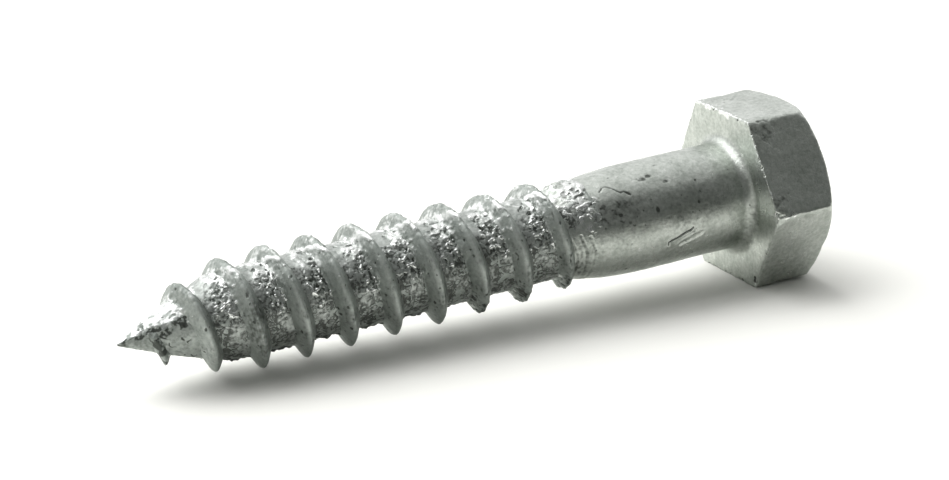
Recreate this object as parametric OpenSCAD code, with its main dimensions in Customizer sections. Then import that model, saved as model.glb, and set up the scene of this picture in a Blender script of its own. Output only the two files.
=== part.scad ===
// Hexagon head wood screw (coach screw), hot-dip galvanised, nominal size 12 x 70 mm.
//
// The screw's axis lies along X. The origin is on that axis, in the plane of the face under the
// head. The head runs to +X, the shank, thread and point run to -X, and two of the head's six
// flats face up and down (+Z and -Z).
//
// The real screw is one forging with a zinc coat. Its zones are separate solids here, which meet
// face to face, so that each can be named, measured and finished by itself.

/* [Head] */
// Distance across the flats of the hexagon
across_flats = 19; // [17:0.1:24]
// Height of the head, from the face under it to its flat end
head_h = 7.9; // [5:0.1:12]
// Slope of the chamfer round the head's flat end, in degrees
chamfer_slope = 30; // [15:1:40]
// Diameter of the head's round flat end, as a share of the distance across the flats
chamfer_share = 0.95; // [0.85:0.01:0.98]
// Radius of the fillet where the shank meets the head
fillet_r = 1.2; // [0.4:0.1:1.5]

/* [Shank] */
// Length from the face under the head to the tip
length = 70; // [60:1:160]
// Diameter of the plain shank
shank_d = 11.8; // [11:0.1:12]
// Length of the full shank, from the face under the head
shank_len = 12; // [6:0.5:18]
// Length of the neck, where the shank narrows to the core of the thread
neck_len = 10.5; // [8:0.5:12]

/* [Thread] */
// Outer diameter of the thread
thread_d = 12.2; // [11.4:0.1:12.4]
// Diameter of the core between the turns
core_d = 9; // [8:0.1:9.6]
// Distance from one turn to the next
pitch = 5; // [4:0.1:6]
// Angle between the two flanks of the ridge, in degrees
flank_angle = 60; // [40:1:70]
// Width of the ridge's crest
crest_w = 0.4; // [0.2:0.05:0.8]
// Flat facets in each turn of the thread
facets = 30; // [18:1:48]

/* [Point] */
// Length of the point, over which the core narrows to the tip
point_len = 12; // [9:0.5:13]
// Radius of the blunt tip
tip_r = 0.15; // [0.1:0.05:0.5]
// How strongly the point's outline bulges: 1 is a plain cone
point_bulge = 1.4; // [1:0.1:1.8]
// Distance from the tip to where the thread starts
thread_start = 1.6; // [1.4:0.1:3]

/* [Zinc crust] */
// Greatest thickness of the zinc crust in the thread's valley
crust_t = 0.35; // [0.2:0.05:0.5]

/* [Hidden] */
$fn = 96;

shank_r = shank_d / 2;
core_r = core_d / 2;
thread_depth = (thread_d - core_d) / 2;

// Head: radius of the corners, of its flat end, and of the root that the fillet grows from
corner_r = across_flats / 2 / cos(30);
end_r = across_flats / 2 * chamfer_share;
root_r = shank_r + fillet_r;
root_depth = 1;

// Places along the axis where one zone ends and the next begins
neck_start = -shank_len;
neck_end = -shank_len - neck_len;
point_start = -length + point_len;

// The thread's turns are counted from its start at the tip. Whole turns stand on top (+Z).
point_turns = 2;
full_turns = floor((neck_end - helix_x(0)) / pitch) - point_turns;
fade_turns = 1;
// The ridge reaches no height a little past its last turn, so that its end has some thickness
fade_len = 1.24 * fade_turns * pitch;
fade_start = helix_x(point_turns + full_turns);
// The ridge would reach no height this far from the tip
rise_start = 1;
crust_from = point_turns + 0.25;
crust_to = point_turns + full_turns - 0.75;

revolve_steps = 14;

zinc = [0.70, 0.72, 0.72];
zinc_dull = [0.58, 0.61, 0.61];
zinc_bright = [0.80, 0.82, 0.82];

// Place along the axis of the ridge's middle after so many turns
function helix_x(turns) = -length + thread_start + pitch * turns;

// Radius of the screw's body, without its thread, at x
function neck_r(x) =
    let (share = (x - neck_end) / neck_len)
    shank_r - (shank_r - core_r) * pow(1 - share, 2);
function point_r(x) =
    let (share = (x + length) / point_len)
    core_r - (core_r - tip_r) * pow(1 - share, point_bulge);
function body_r(x) =
    x >= neck_start ? shank_r :
    x > neck_end ? neck_r(x) :
    x >= point_start ? core_r : point_r(x);

// Height of the ridge above the body at x: it rises along the point and fades on the neck
function ridge_depth(x) =
    x > fade_start ? thread_depth * pow(1 - (x - fade_start) / fade_len, 1.5) :
    x < point_start ?
        thread_depth * sin(90 * (x + length - rise_start) / (point_len - rise_start)) :
    thread_depth;
function ridge_half_w(depth) = depth * tan(flank_angle / 2) + crest_w / 2;

// Outline of the ridge, as [place along the axis, radius] points, after so many turns
function ridge_outline(turns) =
    let (x = helix_x(turns), depth = ridge_depth(x), half_w = ridge_half_w(depth))
    [
        [x - half_w, body_r(x - half_w)],
        [x - crest_w / 2, body_r(x) + depth],
        [x + crest_w / 2, body_r(x) + depth],
        [x + half_w, body_r(x + half_w)]
    ];

// Outline of the crust: it fills the valley from flank to flank, thinner in the middle
function crust_side(turns) = crust_t * (0.62 + 0.38 * sin(830 * turns));
function crust_middle(turns) = crust_t * (0.50 + 0.30 * sin(1130 * turns + 40));
function crust_outline(turns) =
    let (
        x = helix_x(turns) + pitch / 2,
        half_w = pitch / 2 - ridge_half_w(thread_depth),
        side = crust_side(turns),
        spread = side * tan(flank_angle / 2)
    )
    [
        [x - half_w, core_r],
        [x - half_w - spread, core_r + side],
        [x, core_r + crust_middle(turns)],
        [x + half_w + spread, core_r + side],
        [x + half_w, core_r]
    ];

// A point of an outline, carried round a Z axis to its turn
function on_turn(p, turns) =
    let (angle = 180 + 360 * turns)
    [p[1] * cos(angle), p[1] * sin(angle), p[0]];

// Triangles of a strip of rings, each of so many corners, with both ends closed
function strip_faces(rings, corners) = concat(
    [[for (c = [0 : corners - 1]) c]],
    [
        for (r = [0 : rings - 2], c = [0 : corners - 1], half = [0, 1])
            let (
                here = r * corners + c,
                beside = r * corners + (c + 1) % corners
            )
            half == 0 ? [here, here + corners, beside] : [beside, here + corners, beside + corners]
    ],
    [[for (c = [corners - 1 : -1 : 0]) (rings - 1) * corners + c]]
);

// Turns a shape made along Z so that it lies along X
module along_x() {
    rotate([0, 90, 0]) children();
}

// A solid of revolution about X, from [radius, place along the axis] points
module turned(outline) {
    along_x() rotate_extrude() polygon(outline);
}

// The body between two places, cut into rings that follow its outline
module body_zone(from, to) {
    along_side = [
        for (i = [0 : revolve_steps])
            let (x = from + (to - from) * i / revolve_steps)
            [body_r(x), x]
    ];
    turned(concat([[0, from]], along_side, [[0, to]]));
}

module helix_from_rings(rings) {
    along_x() polyhedron(
        points = [for (ring = rings, p = ring) p],
        faces = strip_faces(len(rings), len(rings[0])),
        convexity = 10
    );
}

module ridge(from, to) {
    steps = round((to - from) * facets);
    helix_from_rings([
        for (i = [0 : steps])
            let (turns = from + (to - from) * i / steps)
            [for (p = ridge_outline(turns)) on_turn(p, turns)]
    ]);
}

module hex_head() {
    beyond = corner_r + 1;
    color(zinc) difference() {
        intersection() {
            along_x() rotate([0, 0, 30]) cylinder(h = head_h, r = corner_r, $fn = 6);
            turned([
                [0, 0],
                [beyond, 0],
                [beyond, head_h - (beyond - end_r) * tan(chamfer_slope)],
                [end_r, head_h],
                [0, head_h]
            ]);
        }
        translate([-1, 0, 0]) along_x() cylinder(h = root_depth + 1, r = root_r);
    }
}

// The root of the shank, sunk a little into the head, with the fillet round it
module head_fillet() {
    color(zinc) along_x() rotate_extrude() difference() {
        translate([0, -fillet_r]) square([root_r, fillet_r + root_depth]);
        translate([root_r, -fillet_r]) circle(r = fillet_r);
    }
}

module plain_shank() {
    color(zinc) translate([neck_start, 0, 0]) along_x()
        cylinder(h = shank_len - fillet_r, r = shank_r);
}

module shank_neck() {
    color(zinc) body_zone(neck_end, neck_start);
}

module thread_core() {
    color(zinc_dull) translate([point_start, 0, 0]) along_x()
        cylinder(h = neck_end - point_start, r = core_r);
}

module gimlet_point() {
    color(zinc_dull) body_zone(-length, point_start);
}

module wood_thread() {
    color(zinc_dull) ridge(point_turns, point_turns + full_turns);
}

module point_thread() {
    color(zinc_dull) ridge(0, point_turns);
}

module runout_thread() {
    color(zinc_dull) ridge(point_turns + full_turns, point_turns + full_turns + fade_turns);
}

module zinc_crust() {
    steps = round((crust_to - crust_from) * facets);
    color(zinc_bright) helix_from_rings([
        for (i = [0 : steps])
            let (turns = crust_from + (crust_to - crust_from) * i / steps)
            [for (p = crust_outline(turns)) on_turn(p, turns)]
    ]);
}

hex_head();
head_fillet();
plain_shank();
shank_neck();
thread_core();
gimlet_point();
wood_thread();
point_thread();
runout_thread();
zinc_crust();
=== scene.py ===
"""A hot-dip galvanised hexagon-head lag screw, lying on a pale studio floor."""

import itertools
import math

import bpy
import numpy as np
from mathutils import Matrix, Vector


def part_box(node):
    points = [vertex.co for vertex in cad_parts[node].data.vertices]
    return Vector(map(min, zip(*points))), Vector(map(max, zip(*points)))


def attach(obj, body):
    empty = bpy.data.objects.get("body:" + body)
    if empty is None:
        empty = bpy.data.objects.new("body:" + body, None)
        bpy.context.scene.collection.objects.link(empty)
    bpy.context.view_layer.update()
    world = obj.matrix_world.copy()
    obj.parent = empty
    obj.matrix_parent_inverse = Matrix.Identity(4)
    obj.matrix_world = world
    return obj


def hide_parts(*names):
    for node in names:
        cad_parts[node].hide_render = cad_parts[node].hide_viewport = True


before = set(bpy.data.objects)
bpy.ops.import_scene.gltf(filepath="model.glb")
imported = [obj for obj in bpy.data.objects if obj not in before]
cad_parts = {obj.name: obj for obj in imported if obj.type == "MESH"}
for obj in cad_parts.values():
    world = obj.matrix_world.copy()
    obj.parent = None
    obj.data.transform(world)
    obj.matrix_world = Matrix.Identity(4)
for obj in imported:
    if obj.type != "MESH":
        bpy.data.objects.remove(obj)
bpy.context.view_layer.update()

MM = 0.001
LOW, HIGH = 0, 1
X, Y, Z = 0, 1, 2


# ---------------------------------------------------------------- sizes, in millimetres

def corner(node, end, axis):
    """One side of a CAD node's box."""
    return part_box(node)[end][axis] / MM


TIP_X = corner("gimlet_point", LOW, X)
POINT_START = corner("gimlet_point", HIGH, X)
NECK_END = corner("shank_neck", LOW, X)
NECK_START = corner("shank_neck", HIGH, X)
HEAD_H = corner("hex_head", HIGH, X)
HALF_FLATS = corner("hex_head", HIGH, Z)
CORE_R = corner("thread_core", HIGH, Z)
SHANK_R = corner("plain_shank", HIGH, Z)
CREST_R = corner("wood_thread", HIGH, Z)
ROOT_R = corner("head_fillet", HIGH, Z)
FILLET_R = ROOT_R - SHANK_R

# These follow the CAD's own thread, point and head
PITCH = 5.0
THREAD_START = 1.6
FULL_TURNS = 9
FADE_LEN = 6.2
FADE_POWER = 1.5
RISE_START = 1.0
TIP_R = 0.15
POINT_BULGE = 1.4
CREST_W = 0.4
FLANK_SLOPE = math.tan(math.radians(30))
CHAMFER_SLOPE = math.radians(30)
END_R = 0.95 * HALF_FLATS
CORNER_R = HALF_FLATS / math.cos(math.radians(30))
POINT_LEN = POINT_START - TIP_X
NECK_LEN = NECK_START - NECK_END
RIDGE_H = CREST_R - CORE_R

# Turns at which the visible ridge ends, and where the crust beside it begins and ends
THREAD_TURNS = 10.22
CRUST_FROM = 0.62
CRUST_TO = 9.35

# How far the tip leans down, and over what share of the point
TIP_DROP = 0.3
TIP_DROP_SHARE = 0.6

# How dense the meshes are: distances between points, and counts of rings and of their points
HEAD_CELL = 0.105
SHANK_STEP = 0.085
SHANK_COLUMNS = 440
FILLET_RINGS = 22
CORE_RINGS = 470
CORE_COLUMNS = 300
THREAD_RINGS_PER_TURN = 330
THREAD_COLUMNS = 52
CRUST_RINGS_PER_TURN = 390
CRUST_COLUMNS = 50

# Turns of the helix, and how far the ridge strays along the axis there
STRAY_TURNS = (0.5, 1.0, 2.0, 3.5, 5.0, 7.0, 7.5, 8.0, 8.5, 9.0, 9.5)
STRAY = (0.5, 0.3, 0.3, 0.0, -0.2, -0.2, -0.35, -0.15, -0.35, 0.0, -0.45)
# Turns of the helix, and how many times its usual height the ridge has there
SIZE_TURNS = (0.0, 0.15, 0.25, 0.4, 0.5, 0.6, 0.8, 1.0, 1.3, 1.8, 2.1, 2.4)
SIZE = (0.0, 0.1, 0.7, 1.1, 1.7, 1.1, 1.0, 1.1, 1.0, 0.85, 0.85, 1.0)


def helix_x(turns):
    """Place along the axis of the middle of the ridge after so many turns."""
    return TIP_X + THREAD_START + PITCH * turns + np.interp(turns, STRAY_TURNS, STRAY)


def body_r(x):
    """Radius of the screw's body, without its thread."""
    along_neck = np.clip((x - NECK_END) / NECK_LEN, 0, 1)
    along_point = np.clip((x - TIP_X) / POINT_LEN, 0, 1)
    neck = SHANK_R - (SHANK_R - CORE_R) * (1 - along_neck) ** 2
    point = CORE_R - (CORE_R - TIP_R) * (1 - along_point) ** POINT_BULGE
    return np.where(x > NECK_END, neck, point)


def ridge_depth(x):
    """Height of the ridge: it rises along the point and fades on the neck."""
    fade = np.clip(1 - (x - helix_x(FULL_TURNS)) / FADE_LEN, 0, 1) ** FADE_POWER
    rise = np.clip((x - TIP_X - RISE_START) / (POINT_LEN - RISE_START), 0, 1)
    return RIDGE_H * fade * np.sin(rise * math.pi / 2)


# ---------------------------------------------------------------- noise
# The seeds below are arbitrary: each gives a pattern of its own.

NOISE_GAIN = 1.5
SCATTER = (374761393, 668265263, 974634777)
STIR = 1274126177
WORD = 0xFFFFFFFF
GRADIENTS = np.array(
    [v for v in itertools.product((-1, 0, 1), repeat=3) if 0 < sum(map(abs, v)) < 3], float
)


def lattice(cell, seed):
    """A fixed whole number for each cell of a grid in space."""
    h = cell[..., X] * SCATTER[X] + cell[..., Y] * SCATTER[Y] + cell[..., Z] * SCATTER[Z]
    h = (h + seed * STIR) & WORD
    h = ((h ^ (h >> 13)) * STIR) & WORD
    return h ^ (h >> 16)


def noise(points, size, seed):
    """Smooth noise, about -1 to 1, whose lumps are about size across."""
    q = np.asarray(points, float) / size
    cell = np.floor(q).astype(np.int64)
    inside = q - cell
    blend = inside ** 3 * (inside * (inside * 6 - 15) + 10)
    total = np.zeros(q.shape[:-1])
    for step in itertools.product((0, 1), repeat=3):
        step = np.array(step)
        pick = GRADIENTS[lattice(cell + step, seed) % len(GRADIENTS)]
        weight = np.where(step, blend, 1 - blend).prod(axis=-1)
        total += weight * (pick * (inside - step)).sum(axis=-1)
    return NOISE_GAIN * total


def layered(points, size, seed, layers=3):
    """Noise with finer noise on top of it."""
    return sum(noise(points, size / 2 ** i, seed + i) / 2 ** i for i in range(layers))


def smooth_step(low, high, value):
    """0 at low, 1 at high, and smooth between. low may be the larger of the two."""
    t = np.clip((value - low) / (high - low), 0, 1)
    return t * t * (3 - 2 * t)


def smooth_max(a, b, width):
    """The larger of two values, with a rounded change-over."""
    gap = np.clip(width - np.abs(a - b), 0, None) / width
    return np.maximum(a, b) + gap * gap * width / 4


def smooth_min(a, b, width):
    """The smaller of two values, with a rounded change-over."""
    return -smooth_max(-a, -b, width)


# ---------------------------------------------------------------- meshes

def grid_normals(grid):
    """Outward normals of a (rows, columns, 3) grid whose columns close round."""
    across = np.roll(grid, -1, axis=1) - np.roll(grid, 1, axis=1)
    down = np.gradient(grid, axis=0)
    normal = np.cross(across, down)
    return normal / np.maximum(np.linalg.norm(normal, axis=-1, keepdims=True), 1e-9)


def strip_faces(rows, columns):
    """Faces of a tube of rings. Each end is closed by a fan to one more point."""
    r, c = np.meshgrid(np.arange(rows - 1), np.arange(columns), indexing="ij")
    here = r * columns + c
    beside = r * columns + (c + 1) % columns
    quads = np.stack([here, beside, beside + columns, here + columns], axis=-1)
    faces = quads.reshape(-1, 4).tolist()
    first = rows * columns
    last = first + 1
    start = (rows - 1) * columns
    for column in range(columns):
        following = (column + 1) % columns
        faces.append([first, following, column])
        faces.append([last, start + column, start + following])
    return faces


def new_piece(name, points, faces, relief, material, nodes):
    """A smooth mesh piece from points in millimetres. It stands for the named CAD nodes.

    relief says how far each point stands up, from -1 in a pit to 1 on a lump. It also carries
    painted shade below 0 and painted highlights above 0.
    """
    mesh = bpy.data.meshes.new(name)
    mesh.from_pydata((np.asarray(points) * MM).tolist(), [], faces)
    mesh.polygons.foreach_set("use_smooth", [True] * len(mesh.polygons))
    layer = mesh.attributes.new("relief", "FLOAT", "POINT")
    layer.data.foreach_set("value", np.clip(relief, -1, 1).astype(np.float32))
    mesh.materials.append(material)
    piece = bpy.data.objects.new(name, mesh)
    bpy.context.scene.collection.objects.link(piece)
    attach(piece, "root")
    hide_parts(*nodes)


def ring_piece(name, grid, relief, material, nodes):
    """A piece from a (rings, points, 3) grid."""
    rows, columns, _ = grid.shape
    ends = [grid[0].mean(axis=0), grid[-1].mean(axis=0)]
    points = np.concatenate([grid.reshape(-1, 3), ends])
    relief = np.append(relief.reshape(-1), [0, 0])
    new_piece(name, points, strip_faces(rows, columns), relief, material, nodes)


def turned_grid(xs, radii, columns):
    """Rings about the X axis."""
    angle = np.linspace(0, 2 * math.pi, columns, endpoint=False)
    x = np.repeat(xs[:, None], columns, axis=1)
    return np.stack([x, -radii[:, None] * np.sin(angle), radii[:, None] * np.cos(angle)], axis=-1)


# ---------------------------------------------------------------- zinc surface

def angle_of(points):
    """Angle round the axis in degrees, -180 to 180: 0 on top and 90 at the front."""
    return np.degrees(np.arctan2(-points[..., Y], points[..., Z]))


def bent_tip(points):
    """The forged point leans down a little."""
    along = np.clip(1 - (points[..., X] - TIP_X) / (TIP_DROP_SHARE * POINT_LEN), 0, 1)
    moved = points.copy()
    moved[..., Z] -= TIP_DROP * along ** 2
    return moved


def skin(points):
    """Height and relief of the plain zinc skin: slow waves, runs with an edge, fine grain."""
    waves = layered(points, 2.6, 11, 3)
    grain = layered(points, 0.40, 17, 2)
    runs = smooth_step(-0.04, 0.04, noise(points, 2.2, 23))
    height = 0.022 * waves + 0.007 * grain + 0.006 * runs
    return height, 0.22 * grain + 0.18 * waves


PIT_EDGE = 0.22
CRACK_WIDTH = 0.09
WANDER = 0.07


def pits(points, size, seed, rarity):
    """Sharp-edged little hollows or grains, 0 outside them and 1 in their middle."""
    return smooth_step(rarity, rarity + PIT_EDGE, noise(points, size, seed))


def cracks(points, size, seed):
    """Thin wandering lines, 1 in a line and 0 elsewhere."""
    off_line = np.abs(noise(points, size, seed))
    line = 1 - smooth_step(0.4 * CRACK_WIDTH, CRACK_WIDTH, off_line)
    return line * smooth_step(0.05, 0.30, noise(points, 1.8 * size, seed + 1))


def near(points, place, radius):
    """1 close to a place and 0 beyond the radius."""
    away = np.linalg.norm(points - np.array(place), axis=-1)
    return 1 - smooth_step(0.3 * radius, radius, away)


def scored_line(points, route, radius, width):
    """1 along a scored line on a round surface. The route is (x, angle) points."""
    along = np.stack([points[..., X], radius * np.radians(angle_of(points))], axis=-1)
    wander = np.stack([noise(points, 0.5, 31), noise(points, 0.5, 37)], axis=-1)
    along = along + WANDER * wander
    nearest = np.full(points.shape[:-1], np.inf)
    stops = [np.array([x, radius * math.radians(angle)]) for x, angle in route]
    for start, end in zip(stops, stops[1:]):
        leg = end - start
        share = np.clip(((along - start) @ leg) / (leg @ leg), 0, 1)
        gap = np.linalg.norm(along - start - share[..., None] * leg, axis=-1)
        nearest = np.minimum(nearest, gap)
    return 1 - smooth_step(0.3 * width, width, nearest)


def patch(points, x, angle, half_x, half_angle):
    """A soft oval patch on a round surface, 1 in its middle and 0 outside."""
    turn = (angle_of(points) - angle + 180) % 360 - 180
    away = np.hypot((points[..., X] - x) / half_x, turn / half_angle)
    return 1 - smooth_step(0.25, 1.0, away)


def zones(points):
    """How much of each kind of crust there is round the screw: on top, in front, beneath. The
    relief built on these shares also carries painted light and shade, set by which side faces the
    light.
    """
    on_point = smooth_step(POINT_START - 3, POINT_START - 6, points[..., X])
    angle = angle_of(points) + 10 * noise(points, 2.4, 97) + 14 * noise(points, 1.1, 99)
    top = smooth_step(44, 24, angle - 19 * on_point) * smooth_step(-125, -70, angle)
    front = smooth_step(24, 40, angle - 19 * on_point) * smooth_step(84, 66, angle)
    beneath = smooth_step(140, 158, np.abs(angle))
    return top, front, beneath


# ---------------------------------------------------------------- camera

CAMERA_AT = Vector((-123.5, -209.5, 83.6)) * MM
CAMERA_AZIMUTH = math.radians(-23.92)
CAMERA_ELEVATION = math.radians(19.68)
CAMERA_ROLL = math.radians(-5.06)
CAMERA_LENS = 88.0
SENSOR_WIDTH = 36.0
CLIP_START = 0.01


def add_camera():
    """A long lens in front of the screw, on its tip's side and a little above it."""
    data = bpy.data.cameras.new("camera")
    data.lens = CAMERA_LENS
    data.sensor_width = SENSOR_WIDTH
    data.clip_start = CLIP_START
    camera = bpy.data.objects.new("camera", data)
    bpy.context.scene.collection.objects.link(camera)
    turn = Matrix.Rotation(CAMERA_AZIMUTH, 4, "Z")
    tip = Matrix.Rotation(math.pi / 2 - CAMERA_ELEVATION, 4, "X")
    roll = Matrix.Rotation(CAMERA_ROLL, 4, "Z")
    camera.matrix_world = Matrix.Translation(CAMERA_AT) @ turn @ tip @ roll
    bpy.context.scene.camera = camera


add_camera()


# ---------------------------------------------------------------- node helpers

class Nodes:
    """Short calls for building a node tree."""

    def __init__(self, tree):
        self.tree = tree

    def add(self, kind, **settings):
        node = self.tree.nodes.new(kind)
        for name, value in settings.items():
            setattr(node, name, value)
        return node

    def link(self, source, target):
        self.tree.links.new(source, target)

    def feed(self, socket, value):
        if isinstance(value, bpy.types.NodeSocket):
            self.link(value, socket)
        else:
            socket.default_value = value

    def math(self, operation, a, b):
        node = self.add("ShaderNodeMath", operation=operation)
        self.feed(node.inputs[0], a)
        self.feed(node.inputs[1], b)
        return node.outputs[0]

    def ramp(self, value, low, high, start=0.0, end=1.0):
        """value taken from low..high to start..end, and held there beyond."""
        node = self.add("ShaderNodeMapRange", interpolation_type="SMOOTHSTEP")
        for socket, given in zip(node.inputs, (value, low, high, start, end)):
            self.feed(socket, given)
        return node.outputs[0]

    def facing(self, ray, direction):
        """How squarely a ray points in a direction, from -1 to 1."""
        node = self.add("ShaderNodeVectorMath", operation="DOT_PRODUCT")
        self.link(ray, node.inputs[0])
        node.inputs[1].default_value = Vector(direction).normalized()
        return node.outputs["Value"]

    def mix(self, share, a, b):
        node = self.add("ShaderNodeMix", data_type="RGBA", clamp_factor=False)
        self.feed(node.inputs["Factor"], share)
        self.feed(node.inputs["A"], a)
        self.feed(node.inputs["B"], b)
        return node.outputs["Result"]

    def noise(self, where, per_mm, detail, roughness):
        node = self.add("ShaderNodeTexNoise")
        self.link(where, node.inputs["Vector"])
        node.inputs["Scale"].default_value = per_mm / MM
        node.inputs["Detail"].default_value = detail
        node.inputs["Roughness"].default_value = roughness
        return node.outputs["Fac"]


# ---------------------------------------------------------------- materials

# Bright zinc for lumps and painted highlights, and near black for pits and painted shade
BRIGHT_ZINC_AND_HIGHLIGHT = (0.82, 0.84, 0.82, 1.0)
DIRT_AND_SHADE = (0.050, 0.055, 0.048, 1.0)
GRAIN_DEPTH = 0.05


def zinc(name, light, dark, rough, shine, grain):
    """Galvanised zinc: mottled greys and a fine grain. Low relief mixes in near black for pits and
    painted shade, high relief bright zinc for lumps and painted highlights.

    Its roughness goes from rough in the dark spots to shine in the light ones.
    """
    material = bpy.data.materials.new(name)
    material.use_nodes = True
    n = Nodes(material.node_tree)
    shader = material.node_tree.nodes["Principled BSDF"]
    where = n.add("ShaderNodeTexCoord").outputs["Object"]
    relief = n.add("ShaderNodeAttribute", attribute_name="relief").outputs["Fac"]
    slow = n.noise(where, per_mm=0.35, detail=4.0, roughness=0.6)
    quick = n.noise(where, per_mm=2.1, detail=5.0, roughness=0.75)
    peaks = n.noise(where, per_mm=2.8, detail=2.0, roughness=0.6)
    cloud = n.ramp(slow, low=0.35, high=0.65)
    mottle = n.ramp(quick, low=0.30, high=0.70)
    dots = n.ramp(peaks, low=0.70, high=0.78, end=0.45)
    # sunk takes pits and painted shade from low relief; the next line takes lumps and painted
    # highlights from high relief
    sunk = n.ramp(relief, low=-0.12, high=-0.80, end=0.85)
    raised_and_highlight = n.ramp(relief, low=0.25, high=0.85, end=0.85)
    dirt_and_shade = n.math("MAXIMUM", dots, sunk)
    tone = n.math("ADD", n.math("MULTIPLY", cloud, 0.35), n.math("MULTIPLY", mottle, 0.65))
    colour = n.mix(tone, dark, light)
    colour = n.mix(raised_and_highlight, colour, BRIGHT_ZINC_AND_HIGHLIGHT)
    colour = n.mix(dirt_and_shade, colour, DIRT_AND_SHADE)
    n.link(colour, shader.inputs["Base Color"])
    gloss = n.math("MAXIMUM", n.math("MULTIPLY", tone, 0.6), raised_and_highlight)
    gloss = n.math("SUBTRACT", gloss, n.math("MULTIPLY", dirt_and_shade, 0.6))
    n.link(n.ramp(gloss, 0.0, 1.0, rough, shine), shader.inputs["Roughness"])
    shader.inputs["Metallic"].default_value = 1.0
    fine = n.noise(where, per_mm=4.5, detail=4.0, roughness=0.7)
    bump = n.add("ShaderNodeBump")
    bump.inputs["Strength"].default_value = grain
    bump.inputs["Distance"].default_value = GRAIN_DEPTH * MM
    n.link(fine, bump.inputs["Height"])
    n.link(bump.outputs["Normal"], shader.inputs["Normal"])
    return material


ZINC_SMOOTH = zinc(
    "zinc_smooth",
    light=(0.62, 0.65, 0.61, 1.0),
    dark=(0.34, 0.37, 0.335, 1.0),
    rough=0.36,
    shine=0.19,
    grain=0.6,
)
ZINC_THREAD = zinc(
    "zinc_thread",
    light=(0.46, 0.49, 0.465, 1.0),
    dark=(0.29, 0.32, 0.295, 1.0),
    rough=0.60,
    shine=0.38,
    grain=0.7,
)
ZINC_CRUST = zinc(
    "zinc_crust",
    light=(0.52, 0.55, 0.525, 1.0),
    dark=(0.30, 0.32, 0.30, 1.0),
    rough=0.46,
    shine=0.12,
    grain=0.6,
)


# ---------------------------------------------------------------- head

# Places in the list of the head's sides, and how sharp its edges are before zinc
UNDER, TOP_FLAT, FRONT_FLAT, LOW_FLAT = 0, 3, 4, 5
PLAIN_SHARPNESS = 90.0


def box_surface(low, high, step):
    """Points and faces of a closed box with square cells of about step."""
    counts = [max(2, round((h - l) / step)) for l, h in zip(low, high)]
    lines = [np.linspace(l, h, c + 1) for l, h, c in zip(low, high, counts)]
    points, faces = [], []
    for axis in range(3):
        a, b = (axis + 1) % 3, (axis + 2) % 3
        for end in (LOW, HIGH):
            u, v = np.meshgrid(lines[a], lines[b], indexing="ij")
            side = np.zeros(u.shape + (3,))
            side[..., a], side[..., b] = u, v
            side[..., axis] = (low, high)[end][axis]
            start = sum(len(p) for p in points)
            index = start + np.arange(u.size).reshape(u.shape)
            quad = [index[:-1, :-1], index[1:, :-1], index[1:, 1:], index[:-1, 1:]]
            if end == LOW:
                quad.reverse()
            points.append(side.reshape(-1, 3))
            faces.append(np.stack(quad, axis=-1).reshape(-1, 4))
    points, faces = np.concatenate(points), np.concatenate(faces)
    merged, first = np.unique(np.round(points, 6), axis=0, return_inverse=True)
    return merged, first.reshape(-1)[faces]


def head_sides(points):
    """How near each point is to each side of the head: 1 on the side, less inside.

    The sides are the face under the head, its end, the chamfer, and the six flats in turn
    from the top one by way of the front.
    """
    half_h = HEAD_H / 2
    x, y, z = points[:, X] - half_h, points[:, Y], points[:, Z]
    out = np.hypot(y, z)
    chamfer_reach = END_R * math.sin(CHAMFER_SLOPE) + half_h * math.cos(CHAMFER_SLOPE)
    sides = [-x / half_h, x / half_h]
    sides.append((out * math.sin(CHAMFER_SLOPE) + x * math.cos(CHAMFER_SLOPE)) / chamfer_reach)
    for turn in range(6):
        angle = math.radians(60 * turn)
        sides.append((z * math.cos(angle) - y * math.sin(angle)) / HALF_FLATS)
    return np.clip(np.stack(sides), 1e-6, None)


def head_surface(direction, sharpness):
    """Points of the head in each direction from its middle, with rounded edges."""
    middle = np.array([HEAD_H / 2, 0, 0])
    sides = head_sides(middle + direction)
    largest = sides.max(axis=0)
    total = ((sides / largest) ** sharpness).sum(axis=0)
    reach = 1 / (largest * total ** (1 / sharpness))
    return middle + direction * reach[:, None]


def head_shape():
    """Directions, points and faces of the head with uneven edges, and the plain head's sides."""
    half = np.array([HEAD_H / 2, CORNER_R, HALF_FLATS])
    start, faces = box_surface(-half, half, HEAD_CELL)
    direction = start / np.linalg.norm(start, axis=1, keepdims=True)
    plain = head_surface(direction, PLAIN_SHARPNESS)
    sides = head_sides(plain)
    under, top, front = sides[UNDER], sides[TOP_FLAT], sides[FRONT_FLAT]
    top_edge = smooth_step(0.90, 0.97, np.minimum(top, front))
    top_edge = top_edge * (1 - smooth_step(0.80, 0.95, under))
    sharpness = 80 + 40 * noise(plain, 1.4, 41) - 22 * top_edge
    return direction, head_surface(direction, sharpness), faces, sides


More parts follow.
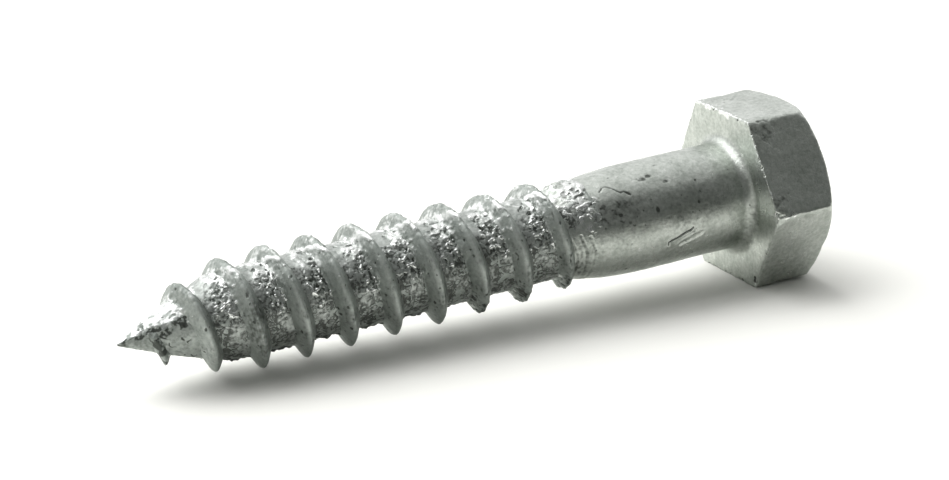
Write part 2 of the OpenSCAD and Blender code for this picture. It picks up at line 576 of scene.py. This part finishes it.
def make_head():
    """The head, with the zinc that gathered on its edges and the damage to its corners."""
    direction, points, faces, sides = head_shape()
    under, top, front, low = (sides[i] for i in (UNDER, TOP_FLAT, FRONT_FLAT, LOW_FLAT))
    ordered = np.sort(head_sides(points), axis=0)
    edge = smooth_step(0.955, 0.995, ordered[-2] / ordered[-1])
    rim = edge * smooth_step(0.90, 0.97, under)

    # Zinc that ran together along the upper edge, and drops of it on the upper flat
    bead = smooth_step(0.92, 0.97, np.minimum(under, top) + 0.035 * noise(points, 1.4, 43))
    bead = bead * smooth_step(-0.35, 0.25, noise(points, 1.9, 45))
    splash = smooth_step(0.60, 0.92, under + 0.15 * noise(points, 1.6, 44))
    spatter = smooth_step(0.98, 0.995, top) * splash
    spatter = spatter * pits(points, 0.42, 48, 0.22)

    # Dross on the lower front edge, smudges on the front flat, and a notch in the lower corner
    low_edge = smooth_step(0.955, 0.985, np.minimum(front, low))
    dross = near(points, (0.8, -CORNER_R, 0.0), 2.2) * low_edge
    on_front = smooth_step(0.975, 0.995, front)
    smudge = near(points, (0.9, -6.3, 8.9), 3.2) + 0.9 * near(points, (1.0, -10.2, 1.2), 2.2)
    smudge = on_front * smudge * smooth_step(-0.25, 0.25, layered(points, 0.8, 46, 3))
    notch = near(points, (0.0, -5.45, -8.80), 0.34) + near(points, (0.0, -5.55, -8.35), 0.34)

    # Lumps, chips out of the rim, shallow dents, and a painted highlight: a bright strip of the
    # face underneath
    lumps = layered(points, 0.50, 47, 3)
    wide = layered(points, 1.1, 49, 3)
    chips = rim * pits(points, 0.45, 53, 0.42)
    dents = (1 - edge) * pits(points, 0.8, 57, 0.80)
    strip = smooth_step(0.98, 1.0, under) * smooth_step(-5.5, -8.0, points[:, Y])
    strip = strip * smooth_step(-2.5, 1.5, points[:, Z])

    # The lower front corner is rubbed off a little
    worn = near(points, (0, -CORNER_R, 0), 1.2)

    height, relief = skin(points)
    height += bead * (0.08 + 0.14 * wide) + 0.04 * spatter
    height += 0.035 * rim * lumps + 0.02 * edge * lumps
    height += dross * (0.03 + 0.14 * wide) - 0.03 * smudge
    height -= 0.25 * worn
    height -= 0.16 * chips + 0.02 * dents + 0.35 * np.clip(notch, 0, 1)
    relief += bead * (0.95 + 0.3 * lumps) + 0.8 * spatter
    relief += 0.35 * rim * (0.5 + lumps) + 0.15 * edge * lumps
    # strip is painted highlight, brightening the face underneath near its front
    relief += dross * (0.6 + 0.9 * lumps) - 0.42 * smudge + 0.8 * strip
    relief -= 1.2 * chips + 0.4 * dents + 1.5 * notch
    points = points + direction * height[:, None]
    new_piece(
        "head", points, faces.tolist(), relief, ZINC_SMOOTH, ["hex_head"]
    )


# ---------------------------------------------------------------- shank

# Marks on the shank, as places along the axis and angles round it
CRACK = [(-17, 33), (-16.5, 28), (-16, 28), (-15, 40), (-14.5, 40), (-14, 45)]
GOUGE = [(-10.5, 110), (-10.5, 106), (-9.5, 103), (-8.5, 99), (-8, 98), (-7.5, 95)]
SECOND_GOUGE = [(-9, 112), (-8, 108), (-6.5, 104)]
NECK_RINGS = [
    [(-22, 62), (-21.5, 84), (-21, 104), (-21, 150)],
    [(-20.5, 76), (-20, 98), (-20, 150)],
    [(-19.5, 80), (-19, 103), (-19.5, 150)],
]
# Spots, as a place, an angle, and half the length and half the angle that each covers
# The first list is painted highlight: glints near the gouge, bright in colour only
PAINTED_GLINTS = [(-8, 91, 0.6, 6), (-6.5, 92, 1.1, 6), (-10.5, 99, 0.5, 5), (-14, 106, 0.9, 7)]
BLOTCHES = [
    (-12, 30, 1.1, 6), (-11, 28, 0.6, 4), (-9.5, 40, 0.6, 3), (-9.5, 14, 0.25, 2.5),
    (-11.5, 68, 0.3, 5), (-6.5, 70, 0.2, 2), (-17.5, 40, 0.25, 2.5), (-15, 135, 0.3, 3),
    (-15, 98, 0.25, 2.5),
]


def shank_outline():
    """Places along the axis and radii, from inside the core up into the head."""
    neck_x = np.arange(NECK_END - 0.3, NECK_START, SHANK_STEP)
    neck = np.where(neck_x < NECK_END, CORE_R - 0.12, body_r(neck_x))
    plain_count = round((-FILLET_R - NECK_START) / SHANK_STEP)
    plain_x = np.linspace(NECK_START, -FILLET_R, plain_count, endpoint=False)
    plain = np.full(len(plain_x), SHANK_R)
    turn = np.linspace(0, math.pi / 2, FILLET_RINGS)
    fillet_x = -FILLET_R + FILLET_R * np.sin(turn)
    fillet = SHANK_R + FILLET_R * (1 - np.cos(turn))
    # A collar inside the head, so that no gap shows between the two
    root_x = np.array([0.04, 0.12, 0.8])
    root = np.array([ROOT_R + 0.25, ROOT_R + 0.4, ROOT_R + 0.4])
    return (
        np.concatenate([neck_x, plain_x, fillet_x, root_x]),
        np.concatenate([neck, plain, fillet, root]),
    )


def neck_crust(grid):
    """How much crust there is on the neck, and what it adds to the height and relief."""
    top, front, _ = zones(grid)
    ragged_x = grid[..., X] + 0.25 * noise(grid, 1.3, 70) + 0.2 * noise(grid, 0.5, 72)
    on_neck = 1 - smooth_step(NECK_END + 3.3, NECK_END + 3.9, ragged_x)
    border = smooth_step(NECK_END + 3.0, NECK_END + 3.5, ragged_x) * on_neck
    lumps = layered(grid, 0.9, 71, 4)
    mound = patch(grid, NECK_END + 1.9, -8, 1.5, 34)
    end_lump = patch(grid, NECK_END + 3.1, 12, 0.7, 9)
    pool = patch(grid, NECK_END + 2.1, 18, 2.6, 30)
    shade = patch(grid, NECK_END + 1.8, 106, 3.2, 50)
    speckled = np.clip(2 * patch(grid, NECK_END + 2.9, 42, 2.4, 22) + border, 0, 1)
    specks = pits(grid, 0.55, 76, 0.12) * speckled
    height = on_neck * (0.02 + (0.08 * top + 0.03 * front) * lumps)
    height += 0.10 * specks * front
    height += 0.42 * mound * (1 + 0.3 * lumps) + 0.30 * end_lump + 0.10 * pool
    relief = on_neck * (0.7 * top + 0.45 * front) * lumps + 0.8 * end_lump + 0.5 * pool
    # Painted light on the neck's front, which is lightened, and painted shade in the patch named
    # shade low on its front
    relief += 1.7 * specks * (front + top) + on_neck * 0.42 * front - 0.46 * shade
    relief -= on_neck * 0.4 * pits(grid, 0.45, 75, 0.50) * np.clip(top + front, 0, 1)
    faint = 0.4 + 0.6 * smooth_step(-0.3, 0.2, noise(grid, 1.2, 82))
    for route in NECK_RINGS:
        ring = scored_line(grid, route, SHANK_R, 0.22)
        ring_rim = scored_line(grid, route, SHANK_R, 0.50) - ring
        height += 0.025 * ring_rim - 0.035 * ring
        relief += (0.10 * ring_rim - 0.18 * ring) * faint
    return on_neck, height, relief


def shank_marks(grid):
    """What the crack, the gouges and the spots on the shank add to its height and relief."""
    broken = 0.4 + 0.6 * smooth_step(-0.25, 0.15, noise(grid, 0.7, 74))
    scores = scored_line(grid, CRACK, SHANK_R, 0.15) * broken
    gouge = scored_line(grid, GOUGE, SHANK_R, 0.13) * (0.55 + 0.45 * broken)
    soft = scored_line(grid, SECOND_GOUGE, SHANK_R, 0.36)
    rim = scored_line(grid, GOUGE, SHANK_R, 0.50) - gouge
    rim = (rim + scored_line(grid, SECOND_GOUGE, SHANK_R, 0.70) - soft) * broken
    blotch = sum(patch(grid, *place) for place in BLOTCHES)
    blotch = blotch * (0.45 + 0.55 * smooth_step(-0.3, 0.3, layered(grid, 0.7, 79)))
    # Painted highlight: the glints brighten the colour and add no height
    bright = sum(patch(grid, *place) for place in PAINTED_GLINTS)
    bright = bright * smooth_step(-0.2, 0.3, noise(grid, 0.6, 78))
    dots = pits(grid, 0.45, 73, 0.78)
    height = 0.05 * rim - 0.12 * gouge - 0.05 * soft - 0.08 * scores - 0.04 * blotch
    height -= 0.02 * dots
    relief = 0.4 * rim - 1.4 * gouge - 0.1 * soft - 1.5 * scores - 0.85 * blotch
    relief += 0.45 * bright - 0.5 * dots
    return height, relief


def make_shank():
    """The neck, the plain shank and the fillet under the head."""
    grid = turned_grid(*shank_outline(), SHANK_COLUMNS)
    normal = grid_normals(grid)
    x = grid[..., X]
    angle = angle_of(grid)
    height, relief = skin(grid)
    on_neck, crust_height, crust_relief = neck_crust(grid)
    mark_height, mark_relief = shank_marks(grid)

    # Painted shade in a darker band along the front, a peppered stain by the neck, and painted
    # shade in the fillet
    painted_shade_band = smooth_step(36, 52, angle) * smooth_step(102, 86, angle) * (1 - on_neck)
    painted_shade_band = painted_shade_band * smooth_step(-1.2, -3.2, x)
    stain = patch(grid, NECK_END + 6.5, 62, 4.0, 28)
    stain = stain * smooth_step(-0.4, 0.4, layered(grid, 0.9, 77))
    peppered = stain * pits(grid, 0.42, 80, 0.30)
    root = smooth_step(-FILLET_R, -0.3, x) * patch(grid, -0.6, 102, 2.0, 52)

    height += crust_height + mark_height
    # The front band is darkened and flattened as painted shade, and root adds painted shade in the
    # fillet
    relief = (relief + crust_relief) * (1 - 0.55 * painted_shade_band)
    relief += mark_relief - 0.14 * stain - 0.30 * root - 0.34 * painted_shade_band - 0.3 * peppered
    ring_piece(
        "shank",
        grid + normal * height[..., None],
        relief,
        ZINC_SMOOTH,
        ["head_fillet", "plain_shank", "shank_neck"],
    )


# ---------------------------------------------------------------- core

def make_core():
    """The point and the straight core, which runs on a little way into the neck."""
    along = np.linspace(0, 1, CORE_RINGS) ** 1.05
    xs = TIP_X + along * (NECK_END + 1.0 - TIP_X)
    grid = turned_grid(xs, np.minimum(body_r(xs), CORE_R), CORE_COLUMNS)
    normal = grid_normals(grid)
    x = grid[..., X]
    past_tip = smooth_step(TIP_X, TIP_X + 1.5, x)
    height, relief = skin(grid)
    top, front, beneath = zones(grid)
    on_point = 1 - smooth_step(helix_x(1.1), helix_x(1.5), x)
    lumps = layered(grid, 0.9, 61, 4)
    fine = layered(grid, 0.40, 63, 3)
    holes = pits(grid, 0.5, 67, 0.42) * np.clip(front + 0.5 * top, 0, 1)
    lines = cracks(grid, 1.1, 69) * (1 - top)
    rough = 0.025 + 0.04 * front + 0.05 * top + 0.05 * beneath
    height += rough * lumps + 0.05 * front * fine - 0.12 * holes - 0.06 * lines
    # Painted light: the point's top is brightened as painted highlight, and its front, the rest of
    # the point and the very tip are darkened as painted shade
    relief += front * (1.6 * fine - 0.50) + top * (0.3 * lumps + 1.0 * on_point)
    relief -= 1.2 * holes + 0.9 * lines + 0.22 * on_point * (1 - top)
    relief -= 0.3 * smooth_step(TIP_X + 1.3, TIP_X + 0.4, x) * (1 - top)
    speckled = patch(grid, TIP_X + 2.6, 22, 2.2, 34)
    relief -= 1.5 * speckled * smooth_step(-0.1, 0.3, layered(grid, 0.7, 68))
    grid = bent_tip(grid + normal * (height * past_tip)[..., None])
    ring_piece("core", grid, relief, ZINC_THREAD, ["thread_core", "gimlet_point"])


# ---------------------------------------------------------------- thread

def sweep(turns, offsets, radii):
    """Rings of points: each row is an outline at that many turns of the helix."""
    angle = 2 * math.pi * turns[:, None]
    x = helix_x(turns)[:, None] + offsets
    return np.stack([x, -radii * np.sin(angle), radii * np.cos(angle)], axis=-1)


def ridge_height(offset, depth):
    """Height of the ridge's outline at an offset from its middle: rounded crest, filleted foot."""
    half_w = depth * FLANK_SLOPE + CREST_W / 2
    flank = (half_w - np.abs(offset)) / FLANK_SLOPE
    return smooth_max(smooth_min(flank, depth, 0.45), 0.0, 0.35)


def thread_grid(turns, across):
    """Outlines of the ridge: its upper side, then two points inside the core.

    The ridge varies a little in height. The middle turns stand higher on top, and the last
    ones are broken away beneath.
    """
    at = sweep(turns, np.zeros((1, 1)), np.full((len(turns), 1), CREST_R))[:, 0]
    depth = ridge_depth(helix_x(turns)) * (1 + 0.05 * noise(at, 2.5, 87))
    size = np.interp(turns, SIZE_TURNS, SIZE)[:, None]
    lifted = smooth_step(4.5, 5.0, turns) * smooth_step(7.4, 7.0, turns)
    size += 0.1 * (lifted * np.cos(2 * math.pi * turns).clip(0, 1))[:, None]
    broken = smooth_step(0.15, 0.40, noise(at, 0.9, 89)) * smooth_step(6.2, 7.2, turns)
    broken = broken * smooth_step(125, 150, np.abs(angle_of(at)))
    depth = (depth - 0.22 * broken * depth)[:, None]
    half_w = depth * FLANK_SLOPE + CREST_W / 2 + 0.22
    offsets = across * half_w
    foot = 0.22 * np.abs(across) ** 6
    middle_x = helix_x(turns)[:, None]
    sunk = 0.16 * smooth_step(0.25, 0.0, depth)
    radii = body_r(middle_x + offsets) + size * ridge_height(offsets, depth) - foot - sunk
    under_off = np.concatenate([0.85 * half_w, -0.85 * half_w], axis=1)
    under_r = np.maximum(body_r(middle_x + under_off) - 0.45, 0.05)
    return sweep(
        turns, np.concatenate([offsets, under_off], 1), np.concatenate([radii, under_r], 1)
    )


def make_thread():
    """The ridge, with zinc at its foot and on its crest, and crust beneath the last turns."""
    turns = np.linspace(THREAD_TURNS, 0, round(THREAD_TURNS * THREAD_RINGS_PER_TURN))
    across = np.linspace(-1, 1, THREAD_COLUMNS)[None, :]
    grid = thread_grid(turns, across)
    normal = grid_normals(grid)
    angle = angle_of(grid)
    beneath = np.abs(angle)
    turns = turns[:, None]
    zero = np.zeros(grid.shape[:2])
    place = np.pad(across, ((0, 0), (0, 2))) + zero
    outside = zero.copy()
    outside[:, 2:THREAD_COLUMNS - 2] = 1

    wet, rough, _ = zones(grid)
    lumps = layered(grid, 0.9, 93, 4)
    streaks = np.stack([turns * 12 + zero, place * 9, zero], axis=-1)
    drawn = layered(streaks, 1.0, 83, 2)
    nicks = pits(grid, 0.55, 91, 0.62)
    foot_crust = (wet + 0.6 * rough) * smooth_step(-0.35, -0.85, place)
    crest_crust = wet * smooth_step(0.45, 0.15, np.abs(place)) * smooth_step(-60, -10, angle)
    specks = pits(grid, 0.38, 103, 0.58) * (wet + rough) * smooth_step(-40, 0, angle)

    # A run of zinc that comes down slantwise across the crest
    run = place + 0.75 * (1 - angle / 26) + 0.15 * noise(grid, 1.0, 95)
    run = smooth_step(0.24, 0.08, np.abs(run)) * smooth_step(-8, 4, angle)
    run = run * smooth_step(34, 24, angle)
    run = run * smooth_step(-0.3, 0.1, noise(grid, 2.8, 101))

    # The rough start of the ridge, a painted highlight on its top, painted shade on its front, and
    # its crusty underside
    point_ridge = smooth_step(0.85, 0.65, turns)
    painted_top_highlight = smooth_step(52, 24, beneath) * smooth_step(0.05, -0.35, place)
    shoe = smooth_step(6.6, 7.3, turns) * smooth_step(112, 136, beneath)
    shoe_tone = 1.1 * lumps - 0.12 + 0.35 * smooth_step(8.9, 9.2, turns)

    height, relief = skin(grid)
    height += 0.008 * drawn - 0.05 * nicks + 0.08 * run + 0.05 * specks
    height += 0.09 * point_ridge * lumps + 0.14 * shoe * lumps
    height += foot_crust * (0.06 + 0.16 * lumps) + 0.09 * crest_crust * lumps
    relief += point_ridge * (1.1 * lumps - 0.28) * smooth_step(0.15, 0.32, turns)
    relief += 0.34 * painted_top_highlight * smooth_step(1.0, 2.4, turns) + shoe * shoe_tone
    # Painted shade on the ridge's lower front
    relief -= 0.20 * smooth_step(46, 80, angle) * smooth_step(150, 120, angle)
    relief += 0.12 * drawn - 0.6 * nicks + 1.0 * run + 0.7 * specks
    relief += foot_crust * (0.45 + 0.9 * lumps) + 0.5 * crest_crust * (0.3 + lumps)
    # Painted shade on the front near turn 2.25, and painted light beneath near turn 1.4
    relief -= 0.30 * patch(grid, helix_x(2.25), 85, 1.5, 60)
    relief += 0.2 * patch(grid, helix_x(1.4), 140, 1.5, 60)
    ring_piece(
        "thread",
        bent_tip(grid + normal * (height * outside)[..., None]),
        relief,
        ZINC_THREAD,
        ["wood_thread", "point_thread", "runout_thread"],
    )


# ---------------------------------------------------------------- crust

# Cracks in the crust between the ridges, as places along the axis and angles round it
VALLEY_LINES = [
    [(-25.5, 87), (-24.5, 90), (-23.5, 88)],
    [(-30, 77), (-30, 91), (-28.5, 92)],
    [(-30, 96), (-29.5, 104), (-29, 107)],
]


def crust_shape(points, across, turns):
    """Height and relief of the crust above the core.

    across runs from -1 at the valley's tip side to 1 at its head side.
    """
    top, front, beneath = zones(points)
    calm = smooth_step(8.95, 9.12, turns)
    front = front * (1 - 0.75 * calm)
    low = (1 - top) * (1 - front) * (1 - beneath)
    side = smooth_step(-0.75, 0.15, across + 0.5 * noise(points, 1.5, 137))
    lumps = layered(points, 1.25, 131, 4)
    fine = layered(points, 0.36, 139, 3)
    chunks = layered(points, 0.75, 155, 2)
    holes = pits(points, 0.60, 141, 0.40) * np.clip(top + front, 0, 1) * side
    marks = pits(points, 0.75, 151, 0.44) * low
    specks = pits(points, 0.48, 153, 0.22) * front * side
    lines = np.maximum(cracks(points, 1.2, 143), cracks(points, 0.7, 149)) * low
    for route in VALLEY_LINES:
        lines = np.maximum(lines, scored_line(points, route, CORE_R, 0.12))
    pool = top * smooth_step(-0.60, 0.50, across)
    pool = pool * np.clip(0.9 + 0.5 * noise(points, 1.6, 147), 0, 1)
    ragged = beneath * (0.5 + 0.5 * smooth_step(7.0, 5.5, turns))

    height = 0.03 + (0.02 + side * (0.14 * top * (1 - 0.5 * pool) + 0.05 * front)) * lumps
    height += (0.05 * front * side + 0.04 * top * side) * fine + 0.14 * specks
    height += ragged * (0.26 * chunks + 0.04) - 0.25 * beneath * (1 - ragged)
    height += 0.30 * pool - 0.22 * holes - 0.07 * lines - 0.06 * marks + 0.03 * low * fine
    # Painted light: the crust is brighter on top and in its pools, which stand up, as painted
    # highlight; it is darker in front, low down, beneath and next to the ridge on the valley's tip
    # side as painted shade
    relief = 0.15 * lumps + side * top * (0.30 + 0.5 * lumps) + 0.52 * pool
    relief += front * (1.2 * fine * (0.25 + 0.75 * side) - 0.18) + 1.7 * specks
    relief -= 0.55 * ragged + 0.22 * (1 - side)
    relief += low * (0.38 * fine + 0.20 * lumps - 0.50) - 0.15 * calm * (1 - top)
    relief -= 1.0 * holes + 1.2 * lines + 0.9 * marks

    # Both ends and both edges dip under the metal
    ends = smooth_step(CRUST_FROM, CRUST_FROM + 0.2, turns)
    ends = ends * smooth_step(CRUST_TO, CRUST_TO - 0.2, turns)
    height = height * ends - 0.25 * (1 - ends)
    height = height - 0.3 * smooth_step(0.9, 1.0, np.abs(across)) * (1 - 0.8 * pool)
    return height, relief


def make_crust():
    """The zinc between the ridges, one long strip that winds round with the valley."""
    rings = round((CRUST_TO - CRUST_FROM) * CRUST_RINGS_PER_TURN)
    turns = np.linspace(CRUST_TO, CRUST_FROM, rings)
    ridge_x = helix_x(turns)[:, None]
    depth = ridge_depth(ridge_x + PITCH)
    half_w = PITCH / 2 - depth * FLANK_SLOPE - CREST_W / 2 + 0.30
    across = np.linspace(-1, 1, CRUST_COLUMNS)[None, :]
    offsets = PITCH / 2 + across * half_w
    core_r = body_r(ridge_x + offsets)
    height, relief = crust_shape(sweep(turns, offsets, core_r), across, turns[:, None])
    under_off = PITCH / 2 + np.concatenate([0.9 * half_w, -0.9 * half_w], axis=1)
    under_r = body_r(ridge_x + under_off) - 0.6
    grid = sweep(
        turns,
        np.concatenate([offsets, under_off], 1),
        np.concatenate([core_r + height, under_r], 1),
    )
    relief = np.pad(relief, ((0, 0), (0, 2)))
    ring_piece("crust", bent_tip(grid), relief, ZINC_CRUST, ["zinc_crust"])


make_head()
make_shank()
make_core()
make_thread()
make_crust()


# ---------------------------------------------------------------- floor and light

# The floor meets the head's lower edge and lies this far below a turn of the thread. It ends
# soon in front of the screw, whose near side so mirrors the dark studio and not the floor.
FLOOR_GAP = 1.0
FLOOR_TURN = 1.5
FLOOR_HALF = 0.6
FLOOR_FRONT = 0.062
FLOOR_COLOUR = (0.78, 0.78, 0.745, 1.0)
FLOOR_ROUGHNESS = 0.9
LIGHT_AIM = Vector((-35, 0, 0)) * MM
# The studio where nothing is bright: near black, and a little green
SHADE = (-0.002, 0.006, -0.001, 1.0)
WHITE = (1.0, 1.0, 1.0, 1.0)


def floor_plane():
    """Middle and tilt of the floor."""
    touch_x, touch_z = helix_x(FLOOR_TURN), corner("point_thread", LOW, Z)
    slope = (touch_z - FLOOR_GAP + HALF_FLATS) / -touch_x
    return Vector((0, 0, -HALF_FLATS * MM)), math.atan(slope)


def add_floor():
    """A plain matt sheet."""
    at, tilt = floor_plane()
    left, right, near_edge, far_edge = -FLOOR_HALF, FLOOR_HALF, -FLOOR_FRONT, FLOOR_HALF
    mesh = bpy.data.meshes.new("floor")
    near_corners = [(left, near_edge, 0), (right, near_edge, 0)]
    far_corners = [(right, far_edge, 0), (left, far_edge, 0)]
    mesh.from_pydata(near_corners + far_corners, [], [[0, 1, 2, 3]])
    floor = bpy.data.objects.new("floor", mesh)
    bpy.context.scene.collection.objects.link(floor)
    floor.location = at
    floor.rotation_euler = (0, tilt, 0)
    material = bpy.data.materials.new("floor")
    material.use_nodes = True
    shader = material.node_tree.nodes["Principled BSDF"]
    shader.inputs["Base Color"].default_value = FLOOR_COLOUR
    shader.inputs["Roughness"].default_value = FLOOR_ROUGHNESS
    mesh.materials.append(material)


def add_light(name, direction, distance, size, power):
    """A square lamp aimed at the screw. Mirrored rays don't see it, so it lights the floor."""
    data = bpy.data.lights.new(name, "AREA")
    data.shape = "SQUARE"
    data.size = size
    data.energy = power
    light = bpy.data.objects.new(name, data)
    bpy.context.scene.collection.objects.link(light)
    away = Vector(direction).normalized()
    light.location = LIGHT_AIM + away * distance
    light.rotation_euler = away.to_track_quat("Z", "Y").to_euler()
    light.visible_glossy = False


def add_world():
    """White above and behind, dark at eye level on the near side, and white to the camera.

    Each bright part is named with its direction, how squarely a ray has to point that way at
    its edge and where it is full, and its strength there.
    """
    world = bpy.data.worlds.new("studio")
    bpy.context.scene.world = world
    world.use_nodes = True
    n = Nodes(world.node_tree)
    back = world.node_tree.nodes["Background"]
    ray = n.add("ShaderNodeTexCoord").outputs["Generated"]
    sky = n.ramp(n.facing(ray, (0.15, 0.86, 0.48)), low=-0.45, high=1.0, start=0.02, end=1.17)
    softbox = n.ramp(n.facing(ray, (-0.48, 0.30, 0.82)), low=0.82, high=0.92, end=1.6)
    window = n.ramp(n.facing(ray, (-0.25, 0.86, 0.45)), low=0.95, high=0.99, end=0.8)
    fill = n.ramp(n.facing(ray, (0.38, -0.84, 0.38)), low=0.92, high=0.99, end=0.17)
    near_fill = n.ramp(n.facing(ray, (-0.30, -0.85, 0.35)), low=0.78, high=0.97, end=0.16)
    above = n.math("ADD", sky, softbox)
    nearer = n.math("ADD", window, n.math("ADD", fill, near_fill))
    bright = n.math("ADD", above, nearer)
    colour = n.mix(bright, SHADE, WHITE)
    seen = n.add("ShaderNodeLightPath").outputs["Is Camera Ray"]
    colour = n.mix(seen, colour, WHITE)
    n.link(colour, back.inputs["Color"])


add_floor()
add_light("key", (-0.20, 0.71, 0.98), distance=0.5, size=0.50, power=2.75)
add_light("fill", (-0.20, -0.75, 0.90), distance=0.8, size=0.5, power=0.1)
add_world()
bpy.context.scene.view_settings.view_transform = "Standard"
bpy.context.scene.view_settings.look = "None"
